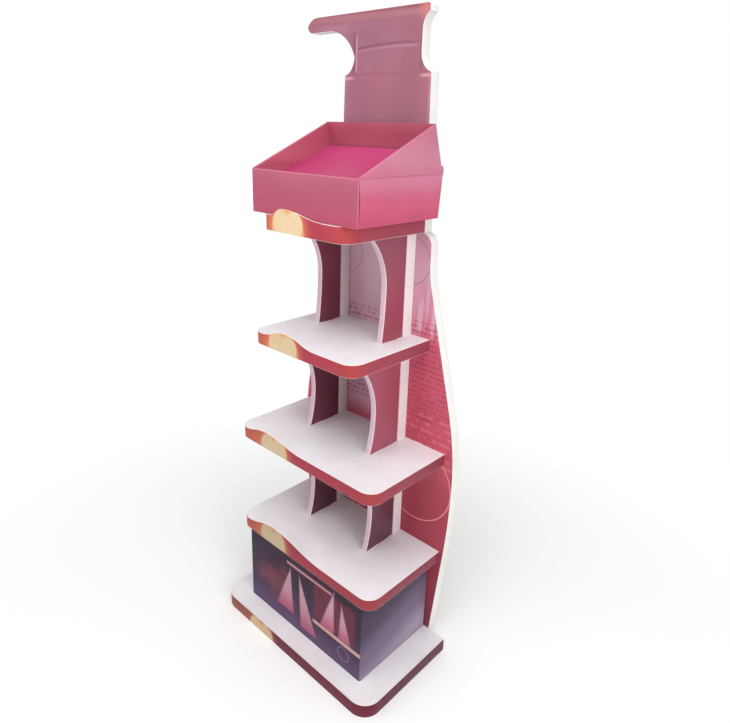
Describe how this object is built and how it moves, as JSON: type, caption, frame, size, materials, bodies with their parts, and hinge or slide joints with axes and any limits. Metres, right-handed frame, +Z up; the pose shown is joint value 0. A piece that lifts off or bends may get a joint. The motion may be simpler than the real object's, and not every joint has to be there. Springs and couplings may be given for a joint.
{
  "type": "cardboard display stand",
  "caption": "Free-standing printed cardboard shop display: a bottle-shaped back board carries a base, a kick box, open shelves on fins and a dump bin with winged sides.",
  "frame": {"origin": "on the floor, under the centre of the stand's bounding box", "axes": "+Z up along the stand's height, -Y towards the shopper, +X to the stand's right as the shopper sees it"},
  "size_m": [0.604, 0.358, 1.7],
  "materials": {
    "printed_board": "satin print on white liner",
    "white_board": "matt white liner",
    "shelf_board": "matt white liner",
    "base_strip": "satin print",
    "kick_board": "satin print",
    "divider_board": "plain brown corrugated",
    "shelf_strip": "satin print",
    "fin_board": "satin print",
    "bin_board": "satin print",
    "ramp_board": "satin print"
  },
  "bodies": {
    "root": {"back_board": "printed_board", "base_deck": "shelf_board", "base_edging": "base_strip", "base_rib_left": "white_board", "base_rib_middle": "white_board", "base_rib_right": "white_board", "bin_ramp": "ramp_board", "dump_bin": "bin_board", "kick_box": "kick_board", "kick_divider_long": "divider_board", "kick_divider_short": "divider_board", "left_post": "white_board", "lower_deck": "shelf_board", "lower_edging": "shelf_strip", "lower_fin_left": "fin_board", "lower_fin_right": "fin_board", "middle_deck": "shelf_board", "middle_edging": "shelf_strip", "middle_fin_left": "fin_board", "middle_fin_right": "fin_board", "right_post": "white_board", "top_deck": "shelf_board", "top_edging": "shelf_strip", "upper_deck": "shelf_board", "upper_edging": "shelf_strip", "upper_fin_left": "fin_board", "upper_fin_right": "fin_board"}
  },
  "joints": []
}
